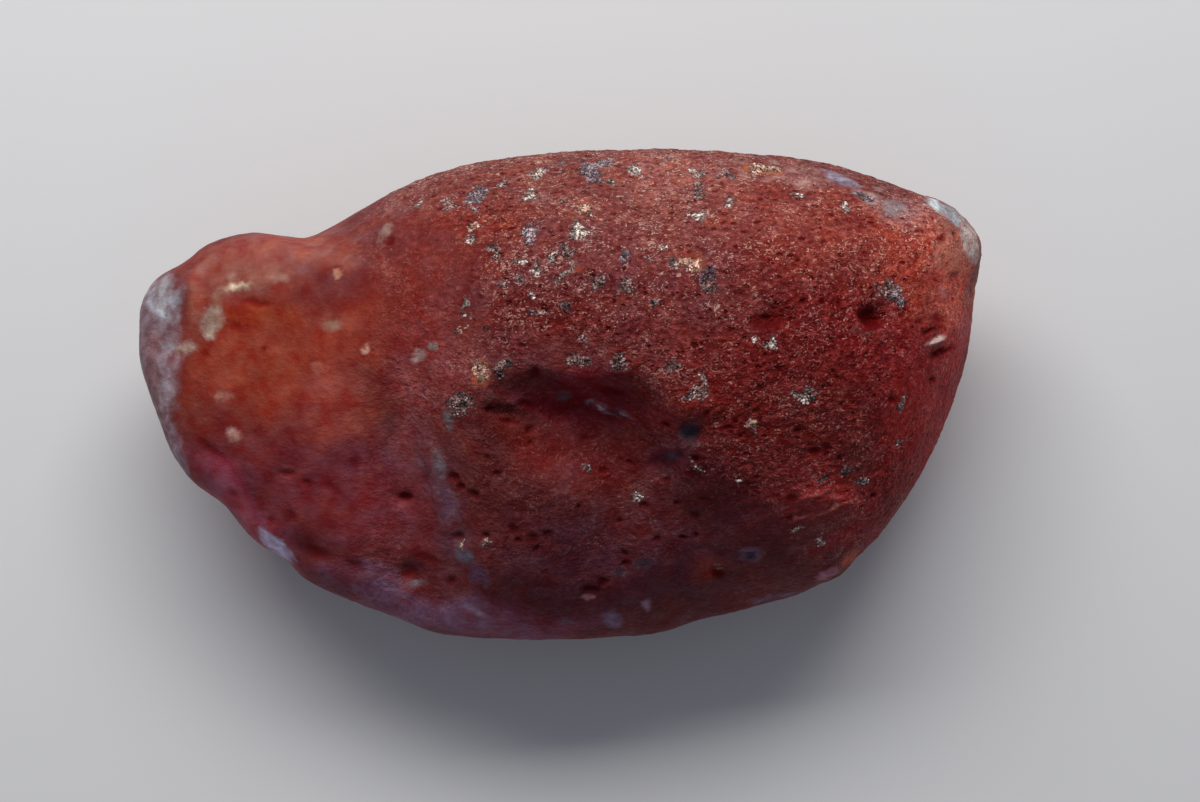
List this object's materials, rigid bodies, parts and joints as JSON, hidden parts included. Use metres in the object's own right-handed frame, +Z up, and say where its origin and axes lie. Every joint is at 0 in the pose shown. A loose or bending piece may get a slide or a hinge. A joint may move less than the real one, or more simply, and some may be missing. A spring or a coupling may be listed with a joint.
{
  "type": "agate pebble",
  "caption": "Rough red agate pebble with a narrow knob at one end, a hollow in its top and a frosted, finely pitted skin; it lies on a flat place of its underside.",
  "frame": {"origin": "on the surface that the stone rests on, under the middle of its bounding box", "axes": "+X runs from the narrow knob to the broad end, +Y to the long straight shoulder, and +Z is up"},
  "size_m": [0.034, 0.0198, 0.0134],
  "materials": {
    "carnelian": "frosted, pitted skin with a dull waxy sheen"
  },
  "bodies": {
    "root": {"agate": "carnelian"}
  },
  "joints": []
}
